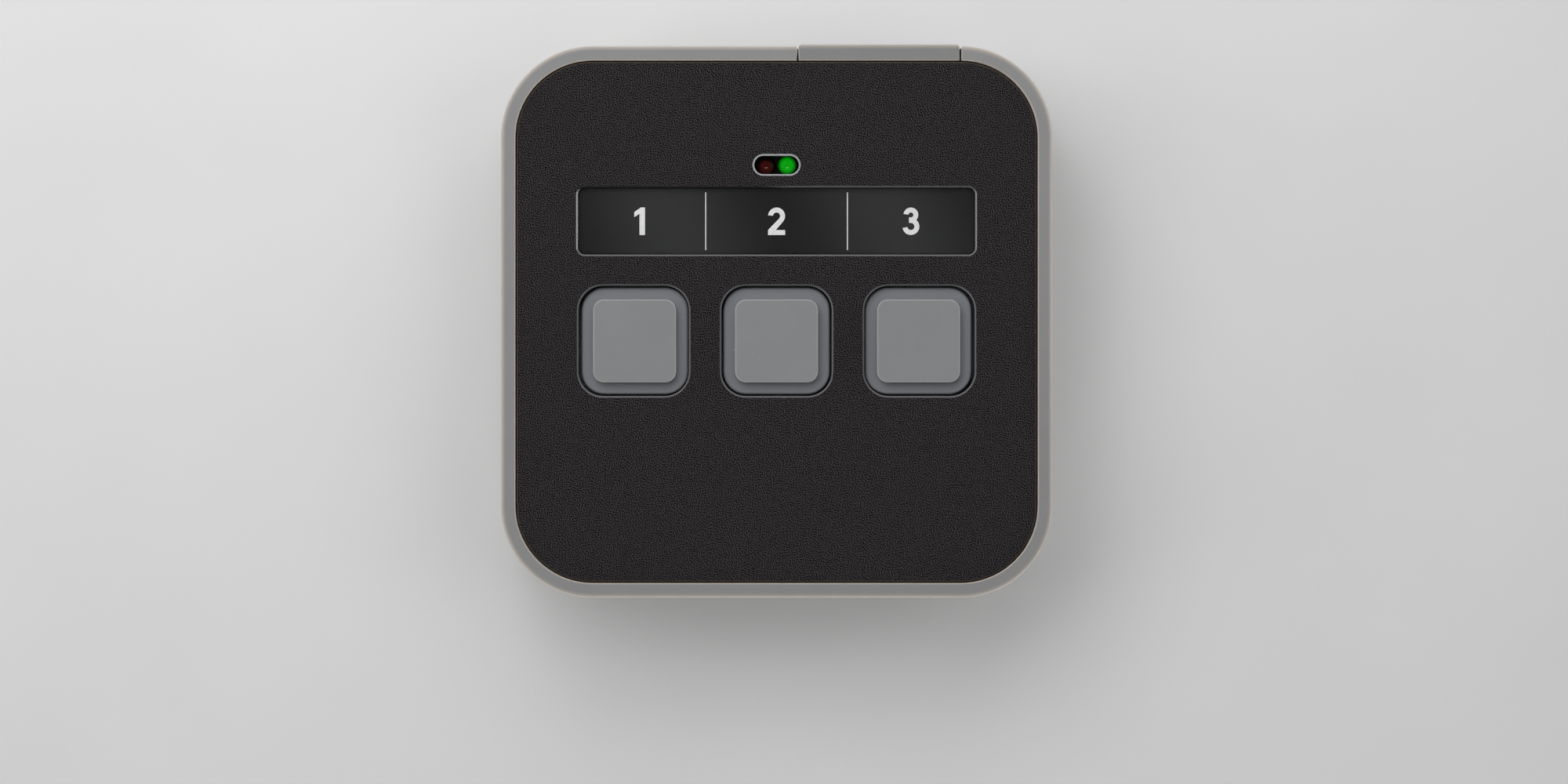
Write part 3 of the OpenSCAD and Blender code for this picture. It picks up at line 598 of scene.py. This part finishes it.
def legged_chip():
    """Chip: black epoxy in the middle, tinned legs along both sides."""
    material, tree, shader = new_material("chip_epoxy")
    low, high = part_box("controller_chip")
    where = place(tree)
    off_middle = calc(tree, "SUBTRACT", axis_value(tree, where, "Y"), (low.y + high.y) / 2 / MM)
    body_half = (high.y - low.y) / 2 / MM - LEG_RUN
    legs = remap(tree, calc(tree, "ABSOLUTE", off_middle), body_half, body_half + LEG_SEAM)
    grain = noise(tree, where, size=0.15, detail=3.0)
    epoxy = mottled(tree, grain, grey(30), grey(42))
    inputs = {
        "Base Color": blend(tree, legs, epoxy, grey(200)),
        "Metallic": legs,
        "Roughness": varied(tree, grain, 0.4, 0.55),
        "Normal": relief(tree, grain, depth=0.01),
    }
    feed_all(tree, shader, inputs)
    return material


# Pieces of the scene's own


def new_object(name, data):
    """A new object in the scene that shows a mesh, a light or a camera."""
    made = bpy.data.objects.new(name, data)
    bpy.context.scene.collection.objects.link(made)
    return made


def new_piece(name, mesh, material):
    """Adds a mesh as a piece of the housing, with the given finish."""
    mesh.materials.append(material)
    piece = new_object(name, mesh)
    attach(piece, "housing")
    return piece


def finished_mesh(name, made):
    """Turns the faces made so far into a mesh."""
    mesh = bpy.data.meshes.new(name)
    made.to_mesh(mesh)
    made.free()
    return mesh


def arc_points(centre, radius, start, turn, steps=10):
    """Points along an arc, with its start and turn in degrees."""
    angles = [math.radians(start + turn * i / steps) for i in range(steps + 1)]
    return [Vector((centre[0] + radius * math.cos(a), centre[1] + radius * math.sin(a))) for a in angles]


def rounded_outline(width, length, radius):
    """Outline of a rectangle with round corners, round the origin."""
    points = []
    for quarter, (sx, sy) in enumerate(((1, 1), (-1, 1), (-1, -1), (1, -1))):
        centre = (sx * (width / 2 - radius), sy * (length / 2 - radius))
        points += arc_points(centre, radius, 90 * quarter, 90)
    return points


def plate(name, outline, low, high):
    """Closed upright plate over an outline."""
    made = bmesh.new()
    floor, roof = ([made.verts.new((point.x, point.y, z)) for point in outline] for z in (low, high))
    count = len(outline)
    for i in range(count):
        made.faces.new((floor[i], floor[(i + 1) % count], roof[(i + 1) % count], roof[i]))
    made.faces.new(roof)
    made.faces.new(list(reversed(floor)))
    return finished_mesh(name, made)


# Bold numerals of height 1 that stand on y = 0, as closed outlines

STROKE = 0.18


def numeral_one():
    points = [(-0.1, 0), (0.1, 0), (0.1, 1), (-0.05, 1), (-0.29, 0.83), (-0.29, 0.65), (-0.1, 0.77)]
    return [Vector(point) for point in points]


def numeral_two():
    reach = 0.31
    bowl = (0, 1 - reach)
    outer = arc_points(bowl, reach, -40, 215)
    inner = arc_points(bowl, reach - STROKE, 175, -215)
    foot = [(-reach, STROKE), (-reach, 0), (reach, 0), (reach, STROKE), (-0.03, STROKE)]
    return outer + inner + [Vector(point) for point in foot]


def numeral_three():
    top_reach, low_reach = 0.27, 0.31
    top, low = (0, 1 - top_reach), (0, low_reach)
    bar_x = -0.07
    outside = arc_points(low, low_reach, 190, 220) + arc_points(top, top_reach, -42.5, 215)
    top_inside = arc_points(top, top_reach - STROKE, 172.5, -262.5)
    low_inside = arc_points(low, low_reach - STROKE, 90, -260)
    bar = [Vector((bar_x, top_inside[-1].y)), Vector((bar_x, low_inside[0].y))]
    return outside + top_inside + bar + low_inside


# The label's card and print

# Thickness of the ink, room above the card for it, and radius of the card's corners
FILM = 0.02 * MM
CARD_SPACE = 0.06 * MM
CARD_CORNER = 1.0 * MM

# Width and length of a divider, its distance from the middle and its corners, and the numerals' height
DIVIDER_W = 0.16 * MM
DIVIDER_L = 8.8 * MM
DIVIDER_X = 10.8 * MM
DIVIDER_CORNER = DIVIDER_W / 4
NUMERAL_HEIGHT = 4.2 * MM


def label():
    """The card, a little thinner than its room, with two dividers and a numeral for each key."""
    low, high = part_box("label_card")
    size = high - low
    middle = (low + high).xy / 2
    top = high.z - CARD_SPACE
    outline = [point + middle for point in rounded_outline(size.x, size.y, CARD_CORNER)]
    mesh = plate("printed_label_card", outline, low.z, top)
    card = new_piece("printed_label_card", mesh, card_with_painted_sheen(middle.y))
    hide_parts("label_card")
    ink = plain_finish("label_ink", grey(218), grey(230), rough=(0.45, 0.55), lump=0.6, depth=0.003)
    field_x = (size.x / 2 + DIVIDER_X) / 2
    line = rounded_outline(DIVIDER_W, DIVIDER_L, DIVIDER_CORNER)
    prints = {
        "label_divider_left": (line, Vector((-DIVIDER_X, 0))),
        "label_divider_right": (line, Vector((DIVIDER_X, 0))),
    }
    for name, outline, x in (
        ("1", numeral_one(), -field_x),
        ("2", numeral_two(), 0.0),
        ("3", numeral_three(), field_x),
    ):
        figure = [point * NUMERAL_HEIGHT for point in outline]
        prints["label_numeral_" + name] = (figure, Vector((x, -NUMERAL_HEIGHT / 2)))
    for name, (outline, offset) in prints.items():
        mesh = plate(name, [point + middle + offset for point in outline], top, top + FILM)
        new_piece(name, mesh, ink)


# Black fins in the gaps at the door's ends, painted shade there

# The rim's thickness and the gap at each end of the door, as the solids have them
RIM_THICK = 2.25 * MM
DOOR_GAP = 0.25 * MM

# The fin's distance from the rim and the door, from the rim's outside, and from its top and bottom
FIN_SPACE = 0.05 * MM
FIN_SETBACK = 0.4 * MM
FIN_SINK = 0.7 * MM
FIN_WIDTH = DOOR_GAP - 2 * FIN_SPACE
FIN_LENGTH = RIM_THICK - FIN_SETBACK

# Just under half the width, so that the fin's edges are almost round
FIN_CORNER = FIN_WIDTH / 2.1


def gap_shade_fins(material):
    """Thin black fins that close the view through the gaps between the rim and the door's ends, as painted
    shade.
    """
    ring_low, ring_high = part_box("bumper_ring")
    door_low, door_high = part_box("battery_door")
    for side, x in (("left", door_low.x - DOOR_GAP / 2), ("right", door_high.x + DOOR_GAP / 2)):
        middle = Vector((x, ring_high.y - FIN_SETBACK - FIN_LENGTH / 2))
        outline = [point + middle for point in rounded_outline(FIN_WIDTH, FIN_LENGTH, FIN_CORNER)]
        mesh = plate("gap_shade_fin_" + side, outline, ring_low.z + FIN_SINK, ring_high.z - FIN_SINK)
        new_piece("gap_shade_fin_" + side, mesh, material)


# Dressing


def put_on(mesh, material):
    """Makes a material the only one on a mesh."""
    mesh.materials.clear()
    mesh.materials.append(material)


def flexing_skirts(material):
    """Copies of the skirts between the keypad's sheet and the keys, in the keys' finish, in place of the
    imported ones.
    """
    for side in KEYS:
        node = "key_skirt_" + side
        skirt = new_object("flexing_skirt_" + side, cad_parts[node].data.copy())
        put_on(skirt.data, material)
        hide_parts(node)
        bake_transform(skirt)


def metal_finish(name, dark, light, rough, lump, depth=0.004, draw_out=(1, 1, 1)):
    """A plain finish of bare metal."""
    return plain_finish(name, dark, light, rough, lump, depth, metallic=1.0, draw_out=draw_out)


def red_lens():
    """Lens of the lamp that is off, with most colour towards the front, as painted light gathered there by
    the lens.
    """
    return lamp_lens(
        "red_lens",
        brightest=(-0.1, -0.45, 0.9),
        side=(0.008, 0.0004, 0.0003, 1),
        top=(0.05, 0.002, 0.0015, 1),
    )


def green_lens():
    """Lens of the lamp that is lit, with most colour on top."""
    return lamp_lens(
        "green_lens",
        brightest=(0, 0, 1),
        side=(0.0, 0.008, 0.0, 1),
        top=(0.0, 0.02, 0.001, 1),
        glow=((0.0, 0.14, 0.001, 1), (0.0005, 0.31, 0.002, 1)),
    )


def dress_all():
    """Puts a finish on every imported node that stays, and adds the skirts and fins that share one."""
    key = key_silicone()
    shell = grained_shell()
    nickel = metal_finish(
        "nickel_contact", grey(186, warmth=0.03), grey(206, warmth=0.03), rough=(0.2, 0.34), lump=2.0
    )
    copper = metal_finish(
        "board_copper", (0.6, 0.3, 0.14, 1), (0.72, 0.4, 0.2, 1), rough=(0.25, 0.4), lump=1.0
    )
    can = metal_finish(
        "can_metal", grey(180), grey(200), rough=(0.22, 0.36), lump=1.5, draw_out=(0.1, 1, 1)
    )
    steel = metal_finish("screw_steel", grey(90), grey(118), rough=(0.25, 0.42), lump=0.8, depth=0.006)
    zinc = metal_finish("board_screw_zinc", grey(176), grey(200), rough=(0.22, 0.36), lump=0.8, depth=0.006)
    rubber = plain_finish("pill_rubber", grey(26), grey(34), rough=(0.7, 0.85), lump=0.8)
    foot = plain_finish("foot_rubber", grey(44), grey(56), rough=(0.65, 0.8), lump=1.2, depth=0.03)
    bezel = plain_finish(
        "bezel_plastic",
        grey(146, warmth=-0.03),
        grey(156, warmth=-0.03),
        rough=(0.25, 0.36),
        lump=1.0,
        depth=0.004,
    )
    finishes = {
        shell: ["front_shell", "rear_shell"],
        rim_silicone("rim_silicone", shade=255): ["bumper_ring"],
        rim_silicone("door_silicone", shade=240): ["battery_door"],
        key: ["keypad_mat"] + ["key_" + side for side in KEYS],
        rubber: ["contact_pill_" + side for side in KEYS],
        nickel: ["door_contact", "plate_terminal", "spring_terminal", "door_spring", "terminal_spring"],
        copper: ["contact_pads", "antenna_trace"],
        can: ["radio_module", "crystal"],
        foot: ["rubber_feet"],
        steel: ["housing_screws"],
        zinc: ["board_screws"],
        bezel: ["lamp_bezel"],
        clear_pane(): ["label_window"],
        board_laminate(): ["circuit_board"],
        legged_chip(): ["controller_chip"],
        red_lens(): ["red_lamp"],
        green_lens(): ["green_lamp"],
    }
    for node in ("aaa_cell_left", "aaa_cell_right"):
        finishes[cell_sleeve(node)] = [node]
    for material, nodes in finishes.items():
        for node in nodes:
            put_on(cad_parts[node].data, material)
    flexing_skirts(key)
    gap_shade_fins(shell)


# Floor, light and camera

# Half the floor's side, in metres
FLOOR_HALF = 3.0

# Where the floor turns into the backdrop, in millimetres from the middle
FADE_START = 150.0
FADE_END = 320.0

# Rays shorter than this, in metres, pass through the floor, unless they come straight from the camera
BACK_CLEARANCE = 5 * MM

BACKDROP = grey(216)


def floor_finish():
    """Pale matt floor that turns into a plain backdrop further out.

    It can be looked through from below, and it lets light through close above it, so that the back shows.
    """
    material, tree, shader = new_material("pale_floor")
    material.cycles.emission_sampling = "NONE"
    where = place(tree)
    clouds = noise(tree, where, size=40.0, detail=3.0)
    inputs = {
        "Base Color": mottled(tree, clouds, grey(218), grey(221)),
        "Roughness": 0.7,
        "Specular IOR Level": 0.2,
    }
    feed_all(tree, shader, inputs)
    path = add(tree, "ShaderNodeLightPath").outputs
    mirrored = calc(tree, "MAXIMUM", path["Is Glossy Ray"], path["Is Transmission Ray"])
    seen = calc(tree, "MAXIMUM", path["Is Camera Ray"], mirrored)
    distance = vector_calc(tree, "LENGTH", where)
    faded = calc(tree, "MULTIPLY", seen, remap(tree, distance, FADE_START, FADE_END))
    backdrop = add(tree, "ShaderNodeEmission", {"Color": BACKDROP, "Strength": 1.0})
    ground = mix_shaders(tree, faded, shader, backdrop)
    below = add(tree, "ShaderNodeNewGeometry").outputs["Backfacing"]
    close = calc(tree, "LESS_THAN", path["Ray Length"], BACK_CLEARANCE)
    open_to_light = calc(tree, "MULTIPLY", close, calc(tree, "SUBTRACT", 1.0, path["Is Camera Ray"]))
    through = add(tree, "ShaderNodeBsdfTransparent", {"Color": WHITE})
    show(tree, mix_shaders(tree, calc(tree, "MAXIMUM", below, open_to_light), ground, through))
    return material


def pale_floor():
    """Wide floor under the object."""
    made = bmesh.new()
    signs = ((-1, -1), (1, -1), (1, 1), (-1, 1))
    made.faces.new([made.verts.new((sx * FLOOR_HALF, sy * FLOOR_HALF, 0.0)) for sx, sy in signs])
    floor = new_object("floor", finished_mesh("floor", made))
    put_on(floor.data, floor_finish())


# Soft lamps: place, width and height in metres, and power in watts
LAMPS = {
    "key_light": ((-0.12, 0.14, 0.3), 0.25, 0.25, 0.45),
    "left_fill": ((-0.38, 0.0, 0.26), 0.3, 0.3, 0.38),
    "right_fill": ((0.2, 0.0, 0.32), 0.25, 0.25, 0.2),
    "top_lamp": ((0.0, 0.2, 0.18), 0.3, 0.18, 0.25),
    "left_strip": ((-0.6, 0.0, 0.08), 0.4, 0.14, 0.5),
    "right_strip": ((0.6, 0.0, 0.07), 0.4, 0.12, 1.05),
    "front_strip": ((0.0, -0.6, 0.06), 0.4, 0.12, 2.0),
    "glint_lamp": ((0.02, -0.28, 0.6), 0.4, 0.13, 0.83),
}

# Lamps that gloss doesn't mirror, so that each lens shows one small glint, and the lamp that gives only that
UNMIRRORED = ("key_light", "left_fill", "right_fill", "top_lamp", "front_strip")
GLINT_ONLY = "glint_lamp"


def soft_lamps():
    """Key, fills, a lamp above, low strips at three sides and a glint, all aimed at the face's middle."""
    for name, (spot, width, height, watts) in LAMPS.items():
        light = bpy.data.lights.new(name, "AREA")
        light.shape = "RECTANGLE"
        light.size = width
        light.size_y = height
        light.energy = watts
        lamp = new_object(name, light)
        lamp.location = spot
        aim = Vector((0, 0, FACE_Z)) - lamp.location
        lamp.rotation_euler = aim.to_track_quat("-Z", "Y").to_euler()
        lamp.visible_camera = False
        lamp.visible_glossy = name not in UNMIRRORED
        lamp.visible_diffuse = name != GLINT_ONLY


# Light of the surroundings at heights from the horizon, 0, to straight up, 1.
# Below the horizon it stays as it is there.
SKY_STEPS = ((0.0, 0.95), (0.4, 0.35), (1.0, 0.1))

# Over this range of Y, from the front backwards, the light grows from the front's share to all of it
FRONT_RANGE = (-0.9, 0.3)
FRONT_SHARE = 0.5


def surroundings():
    """Soft light from all round, brightest at the horizon and dimmer in front."""
    world = bpy.data.worlds.new("studio")
    bpy.context.scene.world = world
    world.use_nodes = True
    tree = world.node_tree
    direction = add(tree, "ShaderNodeTexCoord").outputs["Generated"]
    tones = [(height, (light, light, light, 1.0)) for height, light in SKY_STEPS]
    glow = ramp(tree, axis_value(tree, direction, "Z"), tones)
    strength = remap(tree, axis_value(tree, direction, "Y"), *FRONT_RANGE, FRONT_SHARE, 1.0)
    room = add(tree, "ShaderNodeBackground", {"Color": glow, "Strength": strength})
    tree.links.new(room.outputs[0], tree.nodes["World Output"].inputs["Surface"])


def photo_camera():
    """Camera that looks straight at the face, framed as in the photograph."""
    low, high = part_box("bumper_ring")
    metres_per_px = (high.x - low.x) / BODY_WIDTH_PX
    data = bpy.data.cameras.new("photo_camera")
    data.sensor_width = SENSOR_WIDTH
    data.lens = SENSOR_WIDTH * CAMERA_HEIGHT / (PHOTO_WIDTH_PX * metres_per_px)
    camera = new_object("photo_camera", data)
    camera.location = (
        (low.x + high.x) / 2 + (PHOTO_CENTRE_PX[0] - BODY_CENTRE_PX[0]) * metres_per_px,
        (low.y + high.y) / 2 - (PHOTO_CENTRE_PX[1] - BODY_CENTRE_PX[1]) * metres_per_px,
        FACE_Z + CAMERA_HEIGHT,
    )
    bpy.context.scene.camera = camera


dress_all()
label()
pale_floor()
soft_lamps()
surroundings()
photo_camera()
bpy.context.scene.view_settings.view_transform = "Standard"
